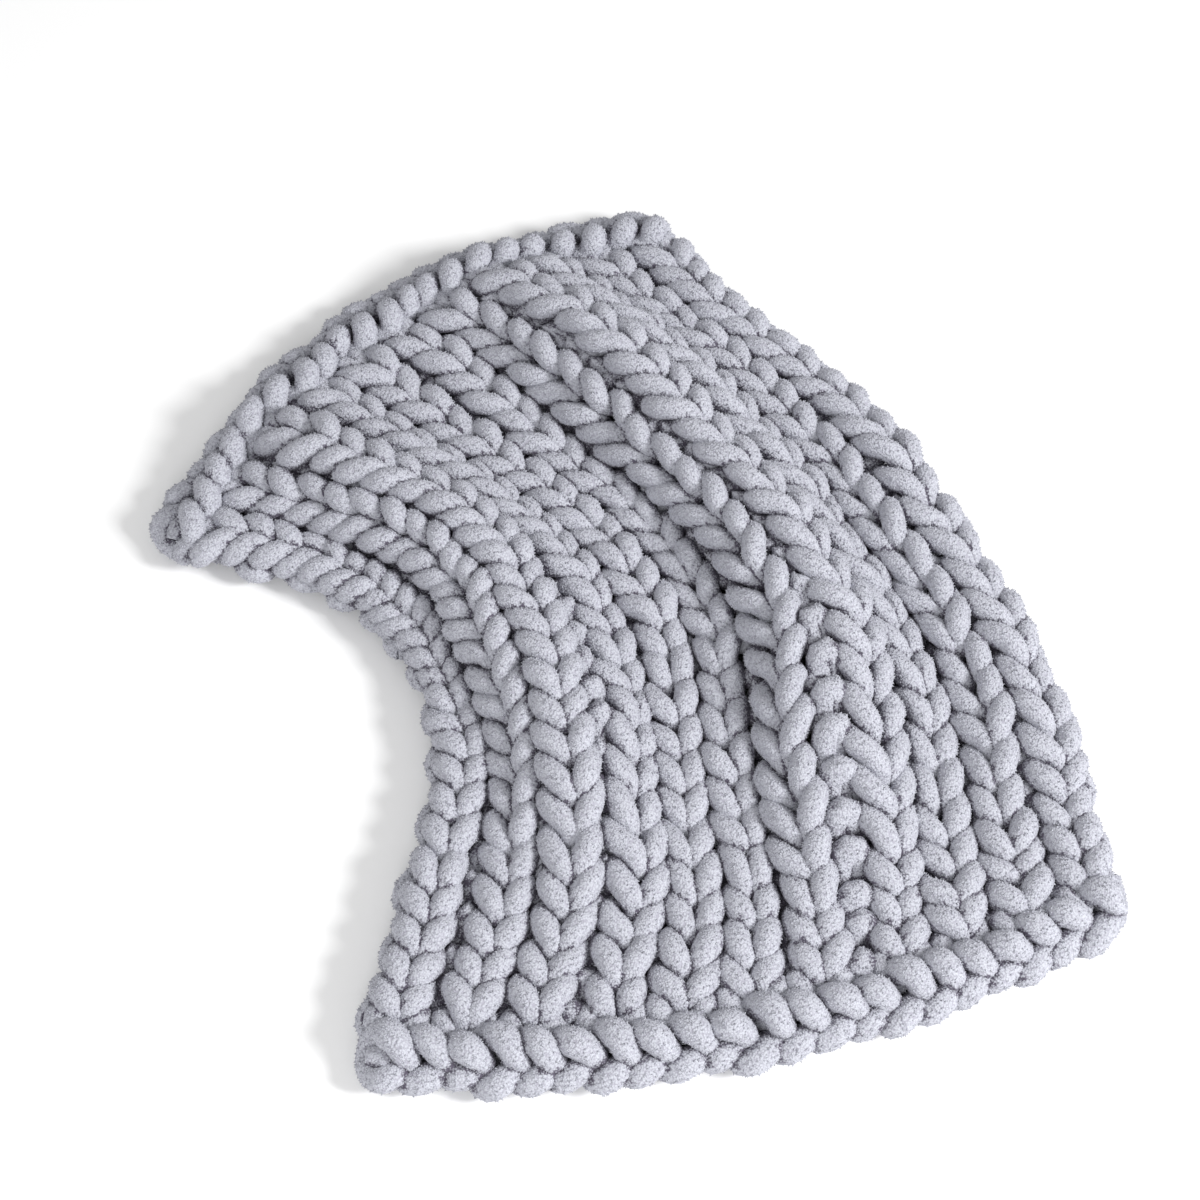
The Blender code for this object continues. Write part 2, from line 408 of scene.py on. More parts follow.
def lift(share, across, width):
    """Height of the cloth's underside above the floor, from the folds."""
    height = np.zeros_like(share)
    for row in FOLDS:
        fold = dict(zip(FOLD_COLUMNS, row))
        run = (share - fold["from_share"]) / (fold["to_share"] - fold["from_share"])
        middle = (
            (1 - run) * (1 - 2 * run) * fold["across_near"]
            + 4 * run * (1 - run) * fold["across_mid"]
            + run * (2 * run - 1) * fold["across_far"]
        )
        away = np.minimum(1.0, np.abs(across - middle) * width / fold["half_width"])
        swell = smooth_step(run / FOLD_SWELL_SHARE) * smooth_step((1.0 - run) / FOLD_SWELL_SHARE)
        height += fold["height"] * swell * 0.5 * (1.0 + np.cos(np.pi * away))
    raised = np.maximum(0.0, height - FOLD_LIES_FLAT)
    return raised * raised / (raised + FOLD_FOOT)


def wale_edges(share, width):
    """Both edges of all the wales, knit and purl in turn, where the cloth is drawn in to each width."""
    rib = RIB_WIDTH * (1.0 - RIB_GIVE * (1.0 - width / CLOTH_WIDTH))
    furrows = np.tile(FURROW_WIDTHS, (len(share), 1))
    for row in OPEN_FURROWS:
        stretch = dict(zip(OPEN_COLUMNS, row))
        near = smooth_step(1.0 - np.abs(share - stretch["middle"]) / stretch["half"])
        furrows[:, stretch["furrow"]] *= 1.0 + stretch["wider"] * near
    furrows *= ((width - RIBS * rib) / furrows.sum(axis=1))[:, None]
    edges = [-width / 2]
    for wale in range(WALES):
        edges.append(edges[-1] + (rib if wale % 2 == 0 else furrows[:, wale // 2]))
    return np.stack(edges, axis=-1)


def underside(sideways, along):
    """Points of the laid cloth's underside at a place across and along it."""
    share = along / CLOTH_LENGTH
    lay = lay_at(share)
    across = sideways / lay["width"]
    swayed = sideways + SWAY * np.sin(2 * np.pi * (along / SWAY_LENGTH + SWAY_WAVES_ACROSS * across))
    ahead = lay["bow"] * (1.0 - 4.0 * across * across)
    turn = np.radians(lay["turn"])
    x = lay["middle_x"] + swayed * np.cos(turn) - ahead * np.sin(turn)
    y = lay["middle_y"] + swayed * np.sin(turn) + ahead * np.cos(turn)
    return np.stack([x, y, lift(share, across, lay["width"])], axis=-1)


def upward(sideways, along):
    """Direction straight out of the laid cloth's upper face at a place across and along it."""
    here = underside(sideways, along)
    to_right = underside(sideways + PROBE, along) - here
    to_far = underside(sideways, along + PROBE) - here
    normal = np.cross(to_right, to_far)
    return normal / np.linalg.norm(normal, axis=1)[:, None]


def lay_on_floor(sideways, along, height, middle_height):
    """Points at a place across and along the laid cloth, and at a height above its underside."""
    laid = underside(sideways, along) + upward(sideways, along) * (height - middle_height)[:, None]
    laid[:, 2] += middle_height
    return laid


def cloth_middle():
    """Middle of the laid cloth's outline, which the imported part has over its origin."""
    along = np.linspace(0.0, CLOTH_LENGTH, OUTLINE_POINTS)
    half = lay_at(along / CLOTH_LENGTH)["width"] / 2
    across = np.linspace(-1.0, 1.0, len(along))
    front = underside(across * half[0], np.zeros_like(along))
    far = underside(across * half[-1], np.full_like(along, CLOTH_LENGTH))
    outline = np.concatenate([underside(-half, along), underside(half, along), front, far])
    middle = (outline.min(axis=0) + outline.max(axis=0)) / 2
    return np.array([middle[0], middle[1], 0.0])


def squeezed(along):
    """Thickness of the yarn as a share of its free one, which is less where the cloth is drawn in."""
    drawn_in = lay_at(along / CLOTH_LENGTH)["width"] / CLOTH_WIDTH
    return drawn_in**SQUEEZE_POWER


def stray(points, amount):
    """Lets the yarn stray a little from its place, in slow waves that differ from place to place."""
    dice = np.random.default_rng(FORM_SEED)
    moved = points.copy()
    for _ in range(STRAY_WAVES):
        waves = dice.normal(0.0, 2 * np.pi / STRAY_LENGTH, size=3)
        way = dice.normal(0.0, 1.0, size=3) * STRAY_SHARES * amount / math.sqrt(STRAY_WAVES)
        moved += way * np.sin(points @ waves + dice.uniform(0, 2 * np.pi))[:, None]
    return moved


def course_path(course, knit, rest_height):
    """The yarn of one course from left to right, as points on the cloth, and its fullness.

    Rest height is that of the middle of a yarn that lies on the floor.
    """
    u = np.tile(np.arange(POINTS_A_STITCH) / POINTS_A_STITCH, WALES)
    wale = np.repeat(np.arange(WALES), POINTS_A_STITCH)
    side = np.where(wale % 2 == 0, 1.0, -1.0)
    dice = np.random.default_rng([FORM_SEED, course])
    lean, skew, reach, rise = (
        1.0 + knit.unevenness * np.repeat(dice.normal(0.0, share, WALES), POINTS_A_STITCH)
        for share in STITCH_SPREADS
    )
    bell = 0.5 * (1.0 - np.cos(2 * np.pi * u))
    along = (
        HEM_DEPTH + course * COURSE_LENGTH - knit.overlap / 2
        + (COURSE_LENGTH + knit.overlap * reach) * bell
    )
    nearest = knit.hem_line + knit.hem_clearance
    along = np.clip(along, nearest, CLOTH_LENGTH - nearest)
    share = along / CLOTH_LENGTH
    edges = wale_edges(share, lay_at(share)["width"])
    rows = np.arange(len(wale))
    left, right = edges[rows, wale], edges[rows, wale + 1]
    lean *= np.where(side > 0, knit.lean, knit.purl_lean)
    sideways = left + (u + lean * np.sin(4 * np.pi * u)) * (right - left)
    sideways -= np.where(side > 0, 1.0, PURL_SKEW_SHARE) * knit.skew * skew * bell
    from_hem = np.minimum(along, CLOTH_LENGTH - along) - nearest
    free = knit.hem_share + (1.0 - knit.hem_share) * smooth_step(from_hem / COURSE_LENGTH)
    stands = np.where(side > 0, knit.rise * free, -knit.sink) * rise
    height = rest_height + knit.sink + stands * 0.5 * (1.0 - np.cos(4 * np.pi * u))
    wide = smooth_step((right - left - PURL_WIDTHS[0]) / (PURL_WIDTHS[1] - PURL_WIDTHS[0]))
    height += np.where(side > 0, 0.0, knit.purl_rise * wide * bell**3)
    from_bar = np.minimum(u, 1.0 - u)
    bump = (PURL_SWING + knit.purl_fullness * wide) * bell * bell + PURL_END_FULLNESS
    fullness = np.where(side > 0, np.cos(4 * np.pi * (from_bar - FULLEST)), bump)
    return np.stack([sideways, along, height], axis=-1), fullness


def yarn_of_courses(knit, thickness):
    """The whole yarn of the courses: its points on the cloth, fullness and course number at each."""
    places, fullness, courses = [], [], []
    for course in range(COURSES):
        path, full = course_path(course, knit, thickness / 2)
        if course % 2:
            path, full = path[::-1], full[::-1]
        if places:
            start, end = places[-1][-1], path[0]
            t = ((np.arange(POINTS_A_TURN) + 1) / (POINTS_A_TURN + 1))[:, None]
            turn = start + t * (end - start)
            turn[:, 0] += math.copysign(knit.selvedge_bulge, start[0]) * np.sin(np.pi * t[:, 0])
            places.append(turn)
            fullness.append(np.zeros(POINTS_A_TURN))
            courses.append(np.full(POINTS_A_TURN, course))
        places.append(path)
        fullness.append(full)
        courses.append(np.full(len(path), course))
    return np.concatenate(places), np.concatenate(fullness), np.concatenate(courses)


def chain_of_hem(knit, far):
    """The yarn of a hem's chain, as points on the cloth, and its fullness."""
    rows = [dict(zip(LINK_COLUMNS, row)) for row in LINK_FORM]
    tail = [dict(zip(LINK_COLUMNS, row)) for row in LINK_TAIL]
    width = lay_at(np.array([float(far)]))["width"][0] - 2 * HEM_SETBACK
    dice = np.random.default_rng([FORM_SEED, HEM_SEED + int(far)])
    places, fullness = [], []
    for link in range(HEM_LINKS):
        longer, deeper, higher = 1.0 + LINK_SPREADS * dice.normal(0.0, knit.unevenness, size=3)
        for row in rows + (tail if link == HEM_LINKS - 1 else []):
            run = (link + row["ahead"] * longer) / (HEM_LINKS + CHAIN_END_LINKS)
            inward = knit.hem_line + row["inward"] * deeper
            along = CLOTH_LENGTH - inward if far else inward
            places.append(((0.5 - run) * width, along, row["height"] * higher))
            fullness.append(row["fullness"])
    return np.array(places), np.array(fullness)


def laid_yarn(places, middle_height, chenille, knit):
    """The yarn's points as it lies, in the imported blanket's place and nowhere under the floor."""
    points = stray(lay_on_floor(*places.T, middle_height), knit.drift) - cloth_middle()
    points[:, 2] = np.maximum(points[:, 2], chenille.thickness / 2)
    return points


def path_object(name, points, fullness, squeeze):
    """A line of points as a mesh, which stores the yarn's fullness and how it is squeezed at each."""
    mesh = bpy.data.meshes.new(name)
    count = len(points)
    mesh.from_pydata(points.tolist(), [(i, i + 1) for i in range(count - 1)], [])
    for kind, values in (("fullness", fullness), ("squeeze", squeeze)):
        layer = mesh.attributes.new(kind, "FLOAT", "POINT")
        layer.data.foreach_set("value", values.astype(np.float32))
    path = bpy.data.objects.new(name, mesh)
    bpy.context.scene.collection.objects.link(path)
    return path


def add_node(tree, kind, inputs=None, **settings):
    """Adds a node, sets its properties, and gives each named or numbered input its value or its link."""
    node = tree.nodes.new(kind)
    for name, value in settings.items():
        setattr(node, name, value)
    for key, value in (inputs or {}).items():
        if isinstance(value, bpy.types.NodeSocket):
            tree.links.new(value, node.inputs[key])
        else:
            node.inputs[key].default_value = value
    return node


def swept_yarn(tree, given):
    """Nodes that sweep the yarn along its path, as full and as squeezed as the path says, and lumpy."""
    # The path becomes a smooth curve with evenly spaced rings.
    curve = add_node(tree, "GeometryNodeMeshToCurve", {"Mesh": given["Path"]})
    smooth = add_node(
        tree, "GeometryNodeCurveSplineType", {"Curve": curve.outputs[0]}, spline_type="CATMULL_ROM"
    )
    even = add_node(
        tree, "GeometryNodeResampleCurve", {"Curve": smooth.outputs[0], "Length": given["Ring Spacing"]},
        mode="LENGTH",
    )
    fullness = add_node(tree, "GeometryNodeInputNamedAttribute", {"Name": "fullness"}, data_type="FLOAT")
    factor = add_node(
        tree, "ShaderNodeMath", {0: fullness.outputs[0], 1: given["Swell"], 2: 1.0}, operation="MULTIPLY_ADD"
    )
    squeeze = add_node(tree, "GeometryNodeInputNamedAttribute", {"Name": "squeeze"}, data_type="FLOAT")
    girth = add_node(
        tree, "ShaderNodeMath", {0: factor.outputs[0], 1: squeeze.outputs[0]}, operation="MULTIPLY"
    )
    half = add_node(tree, "ShaderNodeMath", {0: given["Thickness"], 1: 0.5}, operation="MULTIPLY")
    ring = add_node(
        tree, "GeometryNodeCurvePrimitiveCircle", {"Resolution": given["Sides"], "Radius": half.outputs[0]}
    )
    swept = add_node(
        tree, "GeometryNodeCurveToMesh",
        {
            "Curve": even.outputs[0], "Profile Curve": ring.outputs[0], "Scale": girth.outputs[0],
            "Fill Caps": True,
        },
    )

    # Soft lumps push the surface in and out.
    place = add_node(tree, "GeometryNodeInputPosition")
    normal = add_node(tree, "GeometryNodeInputNormal")
    lump_scale = add_node(tree, "ShaderNodeMath", {0: 1.0, 1: given["Lump Size"]}, operation="DIVIDE")
    lumps = add_node(
        tree, "ShaderNodeTexNoise",
        {"Vector": place.outputs[0], "W": given["Seed"], "Scale": lump_scale.outputs[0], "Detail": 1.5},
        noise_dimensions="4D",
    )
    centred = add_node(tree, "ShaderNodeMath", {0: lumps.outputs[0], 1: 0.5}, operation="SUBTRACT")
    push = add_node(
        tree, "ShaderNodeMath", {0: centred.outputs[0], 1: given["Lump Height"]}, operation="MULTIPLY"
    )
    doubled = add_node(tree, "ShaderNodeMath", {0: push.outputs[0], 1: 2.0}, operation="MULTIPLY")
    offset = add_node(
        tree, "ShaderNodeVectorMath", {0: normal.outputs[0], "Scale": doubled.outputs[0]}, operation="SCALE"
    )
    lumpy = add_node(
        tree, "GeometryNodeSetPosition", {"Geometry": swept.outputs[0], "Offset": offset.outputs[0]}
    )
    return add_node(
        tree, "GeometryNodeSetShadeSmooth", {"Geometry": lumpy.outputs[0], "Shade Smooth": True}
    )


def yarn_with_crease_shade(tree, yarn):
    """Nodes that store how far each place is hidden between strands, as felt by rays round its normal, for
    painted shade.
    """
    place = add_node(tree, "GeometryNodeInputPosition")
    normal = add_node(tree, "GeometryNodeInputNormal")
    lifted = add_node(
        tree, "ShaderNodeVectorMath", {0: normal.outputs[0], "Scale": RAY_START}, operation="SCALE"
    )
    above = add_node(
        tree, "ShaderNodeVectorMath", {0: place.outputs[0], 1: lifted.outputs[0]}, operation="ADD"
    )
    hidden_share = None
    for slant in RAY_SLANTS:
        ray = add_node(tree, "ShaderNodeVectorMath", {0: normal.outputs[0], 1: slant}, operation="ADD")
        facing = add_node(
            tree, "GeometryNodeRaycast",
            {
                "Target Geometry": yarn.outputs[0], "Source Position": above.outputs[0],
                "Ray Direction": ray.outputs[0], "Ray Length": RAY_REACH,
            },
        )
        nearness = add_node(
            tree, "ShaderNodeMath", {0: facing.outputs["Hit Distance"], 1: -1.0 / RAY_REACH, 2: 1.0},
            operation="MULTIPLY_ADD",
        )
        blocked = add_node(
            tree, "ShaderNodeMath", {0: nearness.outputs[0], 1: facing.outputs["Is Hit"]},
            operation="MULTIPLY",
        )
        if hidden_share is None:
            hidden_share = blocked
        else:
            hidden_share = add_node(
                tree, "ShaderNodeMath", {0: hidden_share.outputs[0], 1: blocked.outputs[0]}, operation="ADD"
            )
    mean_share = add_node(
        tree, "ShaderNodeMath", {0: hidden_share.outputs[0], 1: 1.0 / len(RAY_SLANTS)}, operation="MULTIPLY"
    )
    return add_node(
        tree, "GeometryNodeStoreNamedAttribute",
        {"Geometry": yarn.outputs[0], "Name": "crease", "Value": mean_share.outputs[0]},
        data_type="FLOAT", domain="POINT",
    )


def tufts_of_pile(tree, given, yarn):
    """Nodes that set tufts of pile all over the yarn, where nothing lies close above it."""
    place = add_node(tree, "GeometryNodeInputPosition")
    spread = add_node(
        tree, "GeometryNodeDistributePointsOnFaces",
        {"Mesh": yarn.outputs[0], "Density": given["Tuft Density"], "Seed": given["Seed"]},
        distribute_method="RANDOM",
    )
    outward = add_node(
        tree, "GeometryNodeStoreNamedAttribute",
        {"Geometry": spread.outputs["Points"], "Name": "outward", "Value": spread.outputs["Normal"]},
        data_type="FLOAT_VECTOR", domain="POINT",
    )
    away = add_node(tree, "GeometryNodeInputNamedAttribute", {"Name": "outward"}, data_type="FLOAT_VECTOR")
    step = add_node(
        tree, "ShaderNodeVectorMath", {0: away.outputs[0], "Scale": RAY_START}, operation="SCALE"
    )
    start = add_node(
        tree, "ShaderNodeVectorMath", {0: place.outputs[0], 1: step.outputs[0]}, operation="ADD"
    )
    covered = add_node(
        tree, "GeometryNodeRaycast",
        {
            "Target Geometry": yarn.outputs[0], "Source Position": start.outputs[0],
            "Ray Direction": away.outputs[0], "Ray Length": TUFT_ROOM,
        },
    )
    facing = add_node(tree, "ShaderNodeSeparateXYZ", {0: away.outputs[0]})
    under = add_node(
        tree, "FunctionNodeCompare", {0: facing.outputs["Z"], 1: TUFT_FACES_DOWN}, operation="LESS_THAN"
    )
    hidden = add_node(
        tree, "FunctionNodeBooleanMath", {0: covered.outputs["Is Hit"], 1: under.outputs[0]}, operation="OR"
    )
    open_points = add_node(
        tree, "GeometryNodeDeleteGeometry", {"Geometry": outward.outputs[0], "Selection": hidden.outputs[0]},
        domain="POINT",
    )
    root = add_node(tree, "ShaderNodeMath", {0: given["Tuft Width"], 1: 0.5}, operation="MULTIPLY")
    tuft = add_node(
        tree, "GeometryNodeMeshCone",
        {
            "Vertices": TUFT_SIDES, "Radius Top": 0.0, "Radius Bottom": root.outputs[0],
            "Depth": given["Tuft Length"],
        },
        fill_type="NGON",
    )
    # Each point's height on its tuft, by which the material paints the tuft lighter towards its tip, as
    # painted light and shade.
    tuft_height = add_node(tree, "ShaderNodeSeparateXYZ", {0: place.outputs[0]})
    tip = add_node(
        tree, "ShaderNodeMath", {0: tuft_height.outputs["Z"], 1: given["Tuft Length"]}, operation="DIVIDE"
    )
    marked = add_node(
        tree, "GeometryNodeStoreNamedAttribute",
        {"Geometry": tuft.outputs["Mesh"], "Name": "pile_tip", "Value": tip.outputs[0]},
        data_type="FLOAT", domain="POINT",
    )
    sunk = add_node(
        tree, "ShaderNodeMath", {0: given["Tuft Length"], 1: -TUFT_SUNK_SHARE}, operation="MULTIPLY"
    )
    drop = add_node(tree, "ShaderNodeCombineXYZ", {"Z": sunk.outputs[0]})
    rooted = add_node(
        tree, "GeometryNodeTransform", {"Geometry": marked.outputs[0], "Translation": drop.outputs[0]}
    )
    tilt = add_node(
        tree, "FunctionNodeRandomValue",
        {
            "Min": (-TUFT_TILT, -TUFT_TILT, -TUFT_TURN), "Max": (TUFT_TILT, TUFT_TILT, TUFT_TURN),
            "Seed": given["Seed"],
        },
        data_type="FLOAT_VECTOR",
    )
    turned = add_node(
        tree, "FunctionNodeRotateRotation", {0: spread.outputs["Rotation"], 1: tilt.outputs[0]},
        rotation_space="LOCAL",
    )
    size = add_node(
        tree, "FunctionNodeRandomValue",
        {RANDOM_MIN: TUFT_SIZES[0], RANDOM_MAX: TUFT_SIZES[1], "Seed": given["Seed"]}, data_type="FLOAT",
    )
    planted = add_node(
        tree, "GeometryNodeInstanceOnPoints",
        {
            "Points": open_points.outputs[0], "Instance": rooted.outputs[0], "Rotation": turned.outputs[0],
            "Scale": size.outputs[RANDOM_RESULT],
        },
    )
    tufts = add_node(tree, "GeometryNodeRealizeInstances", {0: planted.outputs[0]})
    return add_node(tree, "GeometryNodeSetShadeSmooth", {"Geometry": tufts.outputs[0], "Shade Smooth": True})


def chenille_tree():
    """Geometry Nodes that make plush yarn of a path, and cover what is open to view with tufts."""
    tree = bpy.data.node_groups.new(YARN_TREE, "GeometryNodeTree")
    sockets = tree.interface
    sockets.new_socket("Path", in_out="INPUT", socket_type="NodeSocketGeometry")
    for name, kind in (*YARN_SIZES, ("Material", "NodeSocketMaterial")):
        sockets.new_socket(name, in_out="INPUT", socket_type=kind)
    sockets.new_socket("Yarn", in_out="OUTPUT", socket_type="NodeSocketGeometry")
    given = add_node(tree, "NodeGroupInput").outputs
    crease_shaded = yarn_with_crease_shade(tree, swept_yarn(tree, given))
    tufts = tufts_of_pile(tree, given, crease_shaded)
    both = add_node(tree, "GeometryNodeJoinGeometry")
    for part in (tufts, crease_shaded):
        tree.links.new(part.outputs[0], both.inputs[0])
    whole = add_node(tree, "GeometryNodeRealizeInstances", {0: both.outputs[0]})
    painted = add_node(
        tree, "GeometryNodeSetMaterial", {"Geometry": whole.outputs[0], "Material": given["Material"]}
    )
    add_node(tree, "NodeGroupOutput", {0: painted.outputs[0]})
    return tree


def sweep_yarn(path, tree, chenille, material):
    """Turns a path into a finished piece of plush yarn, as a plain mesh under the same name."""
    name = path.name
    path.name = name + "_path"
    worker = path.modifiers.new("chenille yarn", "NODES")
    worker.node_group = tree
    values = {size: getattr(chenille, size.lower().replace(" ", "_")) for size, _ in YARN_SIZES}
    values["Material"] = material
    for item in tree.interface.items_tree:
        if item.in_out == "INPUT" and item.name in values:
            worker[item.identifier] = values[item.name]
    graph = bpy.context.evaluated_depsgraph_get()
    mesh = bpy.data.meshes.new_from_object(path.evaluated_get(graph))
    if not mesh.polygons:
        raise RuntimeError("no yarn was made along " + name)
    mesh.name = name
    bpy.data.objects.remove(path)
    piece = bpy.data.objects.new(name, mesh)
    bpy.context.scene.collection.objects.link(piece)
    return piece


def seat_piece(piece):
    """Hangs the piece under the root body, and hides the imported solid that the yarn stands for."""
    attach(piece, "root")
    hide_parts(NODE)


def plush_chenille(colours):
    """Chenille, short polyester pile twisted into a soft core: matt, grainy, with shade painted between its
    tufts and strands.
    """
    material = bpy.data.materials.new(PILE_MATERIAL)
    material.use_nodes = True
    tree = material.node_tree
    tree.nodes.clear()
    place = add_node(tree, "ShaderNodeTexCoord").outputs["Object"]
    tip = add_node(tree, "ShaderNodeAttribute", attribute_name="pile_tip")
    # The tops of the tufts and the fibres at their tips are light, and the depths between them are painted
    # dark, as shade.
    cells = add_node(
        tree, "ShaderNodeTexVoronoi", {"Vector": place, "Scale": 1 / TUFT_SPACING, "Randomness": 1.0},
        feature="F1",
    )
    fibres = add_node(
        tree, "ShaderNodeTexNoise",
        {"Vector": place, "Scale": 1 / FIBRE_GRAIN, "Detail": 2.0, "Roughness": 0.6},
    )
    grain = add_node(
        tree, "ShaderNodeMapRange",
        {
            "Value": cells.outputs["Distance"], "From Min": TUFT_SLOPE[0], "From Max": TUFT_SLOPE[1],
            "To Min": 1.0, "To Max": 0.0,
        },
    )
    raised = add_node(
        tree, "ShaderNodeMath", {0: grain.outputs[0], 1: tip.outputs["Fac"]}, operation="MAXIMUM"
    )
    mottled = add_node(
        tree, "ShaderNodeMath", {0: fibres.outputs[0], 1: MOTTLING, 2: -MOTTLING / 2},
        operation="MULTIPLY_ADD",
    )
    tuft_shading_and_mottling = add_node(
        tree, "ShaderNodeMath", {0: raised.outputs[0], 1: mottled.outputs[0]}, operation="ADD", use_clamp=True
    )
    pile = add_node(
        tree, "ShaderNodeMix",
        {0: tuft_shading_and_mottling.outputs[0], MIX_A: colours.depth, MIX_B: colours.pile}, data_type="RGBA",
    )
    # Shade is painted between strands: there the depths of the pile darken first, and its tips last.
    crease = add_node(tree, "ShaderNodeAttribute", attribute_name="crease")
    depth_share = add_node(
        tree, "ShaderNodeMath",
        {0: tuft_shading_and_mottling.outputs[0], 1: CREASE_AT_TIPS - CREASE_IN_DEPTHS, 2: CREASE_IN_DEPTHS},
        operation="MULTIPLY_ADD",
    )
    felt = add_node(
        tree, "ShaderNodeMath", {0: crease.outputs["Fac"], 1: depth_share.outputs[0]}, operation="MULTIPLY"
    )
    shade = add_node(
        tree, "ShaderNodeMapRange",
        {"Value": felt.outputs[0], "From Min": CREASE_SHADE_SHARES[0], "From Max": CREASE_SHADE_SHARES[1]},
    )
    shaded = add_node(
        tree, "ShaderNodeMix",
        {0: shade.outputs[0], MIX_A: pile.outputs[MIX_RESULT], MIX_B: colours.crease}, data_type="RGBA",
    )
    # Patches where the pile was stroked this way or that are a little lighter or darker.
    patches = add_node(tree, "ShaderNodeTexNoise", {"Vector": place, "Scale": 1 / PATCH_SIZE, "Detail": 2.0})
    shift = add_node(
        tree, "ShaderNodeMapRange",
        {"Value": patches.outputs[0], "To Min": PATCH_LIGHTNESS[0], "To Max": PATCH_LIGHTNESS[1]},
    )
    varied = add_node(
        tree, "ShaderNodeVectorMath", {0: shaded.outputs[MIX_RESULT], "Scale": shift.outputs[0]},
        operation="SCALE",
    )
    relief = add_node(
        tree, "ShaderNodeMath", {0: fibres.outputs[0], 1: FIBRE_RELIEF_SHARE, 2: grain.outputs[0]},
        operation="MULTIPLY_ADD",
    )
    bump = add_node(
        tree, "ShaderNodeBump", {"Height": relief.outputs[0], "Strength": 1.0, "Distance": PILE_RELIEF}
    )
    # Pile is matt, with a faint cool sheen where it is seen along its surface.
    shader = add_node(
        tree, "ShaderNodeBsdfPrincipled",
        {
            "Base Color": varied.outputs[0], "Normal": bump.outputs[0], "Roughness": 0.95,
            "Specular IOR Level": 0.15, "Sheen Weight": 0.22, "Sheen Roughness": 0.6,
            "Sheen Tint": linear(SHEEN_COLOUR),
        },
    )
    add_node(tree, "ShaderNodeOutputMaterial", {"Surface": shader.outputs[0]})
    return material


def pale_floor(colours):
    """Matt painted board: even and pale, with hardly any gloss."""
    material = bpy.data.materials.new("matt_painted_board")
    material.use_nodes = True
    tree = material.node_tree
    shader = tree.nodes["Principled BSDF"]
    shader.inputs["Roughness"].default_value = 0.9
    shader.inputs["Specular IOR Level"].default_value = 0.2
    shader.inputs["Base Color"].default_value = colours.floor
    return material


def shared(name, make, *values):
    """The tree or material of that name, made by the function at its first use."""
    for store in (bpy.data.materials, bpy.data.node_groups):
        if name in store:
            return store[name]
    return make(*values)


def make_piece(name, points, fullness, along, scene):
    """Makes one piece of plush yarn through the points, each so far along the cloth, and seats it."""
    tree = shared(YARN_TREE, chenille_tree)
    material = shared(PILE_MATERIAL, plush_chenille, scene.blanket_colours)
    path = path_object(name, points, fullness, squeezed(along))
    seat_piece(sweep_yarn(path, tree, scene.blanket_chenille, material))


class BLANKET_OT_knit_courses(bpy.types.Operator):
    """Knits the courses of the blanket from one yarn, with ribs, furrows and selvedges"""

    bl_idname = "blanket.knit_courses"
    bl_label = "Knit Courses"

    def execute(self, context):
        scene = context.scene
        chenille, knit = scene.blanket_chenille, scene.blanket_knit
        places, fullness, courses = yarn_of_courses(knit, chenille.thickness)
        middle_height = chenille.thickness / 2 + knit.sink + knit.rise / 2
        points = laid_yarn(places, middle_height, chenille, knit)
        band = courses * BANDS // COURSES
        for number in range(BANDS):
            # Each band reaches on to the first point of the next, so that the yarn has no gap.
            own = np.flatnonzero(band == number)
            own = np.arange(own[0], min(own[-1] + 2, len(points)))
            name = f"courses_band_{number + 1}"
            make_piece(name, points[own], fullness[own], places[own, 1], scene)
        return {"FINISHED"}


class BLANKET_OT_bind_hems(bpy.types.Operator):
    """Binds the front and the far hem, each with a chain of links"""

    bl_idname = "blanket.bind_hems"
    bl_label = "Bind Hems"

    def execute(self, context):
        scene = context.scene
        chenille, knit = scene.blanket_chenille, scene.blanket_knit
        for name, far in HEMS:
            places, fullness = chain_of_hem(knit, far)
            points = laid_yarn(places, chenille.thickness, chenille, knit)
            make_piece(name, points, fullness, places[:, 1], scene)
        return {"FINISHED"}


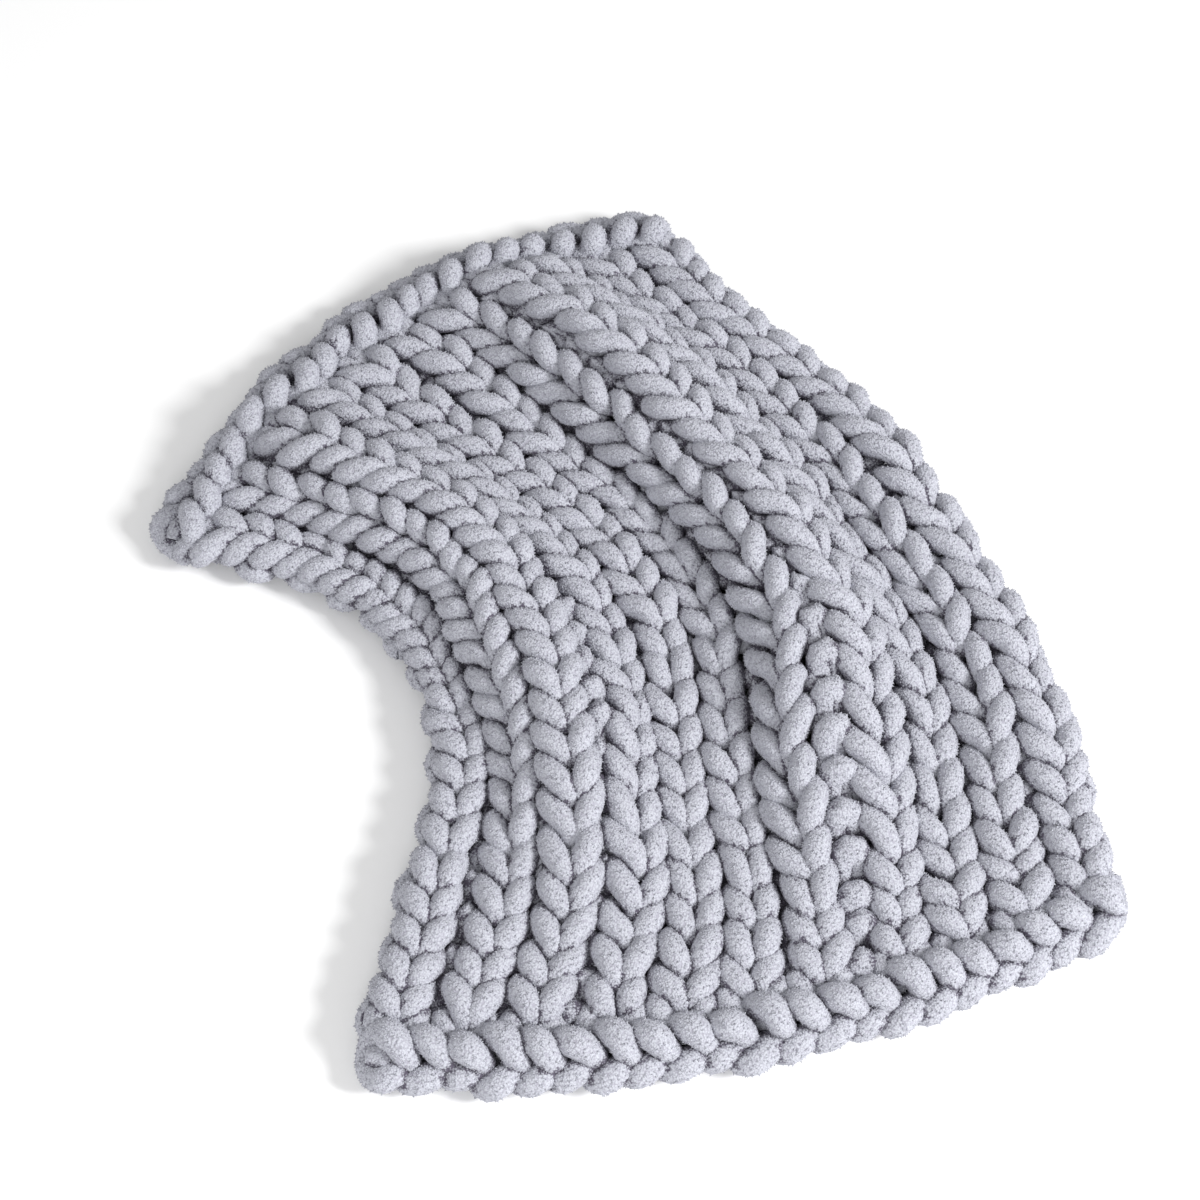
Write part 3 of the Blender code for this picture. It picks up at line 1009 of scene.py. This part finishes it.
class BLANKET_OT_set_stage(bpy.types.Operator):
    """Sets the floor, the soft studio light and the camera"""

    bl_idname = "blanket.set_stage"
    bl_label = "Set Stage"

    def execute(self, context):
        scene = context.scene
        stage = scene.blanket_stage
        mesh = bpy.data.meshes.new("floor")
        corners = [(x * FLOOR_REACH, y * FLOOR_REACH, 0.0) for x, y in ((-1, -1), (1, -1), (1, 1), (-1, 1))]
        mesh.from_pydata(corners, [], [(0, 1, 2, 3)])
        floor = bpy.data.objects.new("floor", mesh)
        scene.collection.objects.link(floor)
        mesh.materials.append(pale_floor(scene.blanket_colours))

        for row, power in zip(LIGHTS, (stage.key_power, stage.fill_power)):
            lamp = dict(zip(LIGHT_COLUMNS, row))
            light = bpy.data.lights.new(lamp["name"], "AREA")
            light.shape = "DISK"
            light.size = lamp["size"]
            light.energy = power
            holder = bpy.data.objects.new(lamp["name"], light)
            holder.location = lamp["place"]
            holder.rotation_euler = Vector(lamp["place"]).to_track_quat("Z", "Y").to_euler()
            scene.collection.objects.link(holder)
        world = bpy.data.worlds.new("studio")
        world.use_nodes = True
        sky = world.node_tree.nodes["Background"]
        sky.inputs["Color"].default_value = linear(SKY_COLOUR)
        sky.inputs["Strength"].default_value = stage.sky
        scene.world = world
        scene.view_settings.view_transform = "Standard"

        lens = bpy.data.cameras.new("camera")
        lens.sensor_width = 36.0
        lens.lens = stage.lens
        camera = bpy.data.objects.new("camera", lens)
        # The camera looks at the point that the lay table is measured from.
        back = Vector((0.0, -math.cos(stage.elevation), math.sin(stage.elevation)))
        camera.location = Vector(-cloth_middle()) + back * stage.distance
        camera.rotation_euler = back.to_track_quat("Z", "Y").to_euler()
        scene.collection.objects.link(camera)
        scene.camera = camera
        return {"FINISHED"}


class BLANKET_PT_sidebar(bpy.types.Panel):
    """Lists the blanket's steps and sizes"""

    bl_idname = "BLANKET_PT_sidebar"
    bl_label = "Chunky Knit Blanket"
    bl_space_type = "VIEW_3D"
    bl_region_type = "UI"
    bl_category = "Blanket"

    def draw(self, context):
        layout = self.layout
        for step in STEPS:
            layout.operator(step.bl_idname)
        for name, settings in SETTINGS.items():
            box = layout.box()
            group = getattr(context.scene, name)
            for value in settings.__annotations__:
                box.prop(group, value)


STEPS = (BLANKET_OT_knit_courses, BLANKET_OT_bind_hems, BLANKET_OT_set_stage)
SETTINGS = {
    "blanket_chenille": ChenilleSettings,
    "blanket_knit": KnitSettings,
    "blanket_colours": ColourSettings,
    "blanket_stage": StageSettings,
}


def register():
    """Makes the blanket's settings, steps and panel known to Blender."""
    for kind in (*SETTINGS.values(), *STEPS, BLANKET_PT_sidebar):
        bpy.utils.register_class(kind)
    for name, settings in SETTINGS.items():
        setattr(bpy.types.Scene, name, PointerProperty(type=settings))


def unregister():
    """Takes the blanket's settings, steps and panel out of Blender again."""
    for name in SETTINGS:
        delattr(bpy.types.Scene, name)
    for kind in reversed((*SETTINGS.values(), *STEPS, BLANKET_PT_sidebar)):
        bpy.utils.unregister_class(kind)


def main():
    """Makes the blanket and its stage step by step."""
    register()
    bpy.ops.blanket.knit_courses()
    bpy.ops.blanket.bind_hems()
    bpy.ops.blanket.set_stage()


if __name__ == "__main__":
    main()
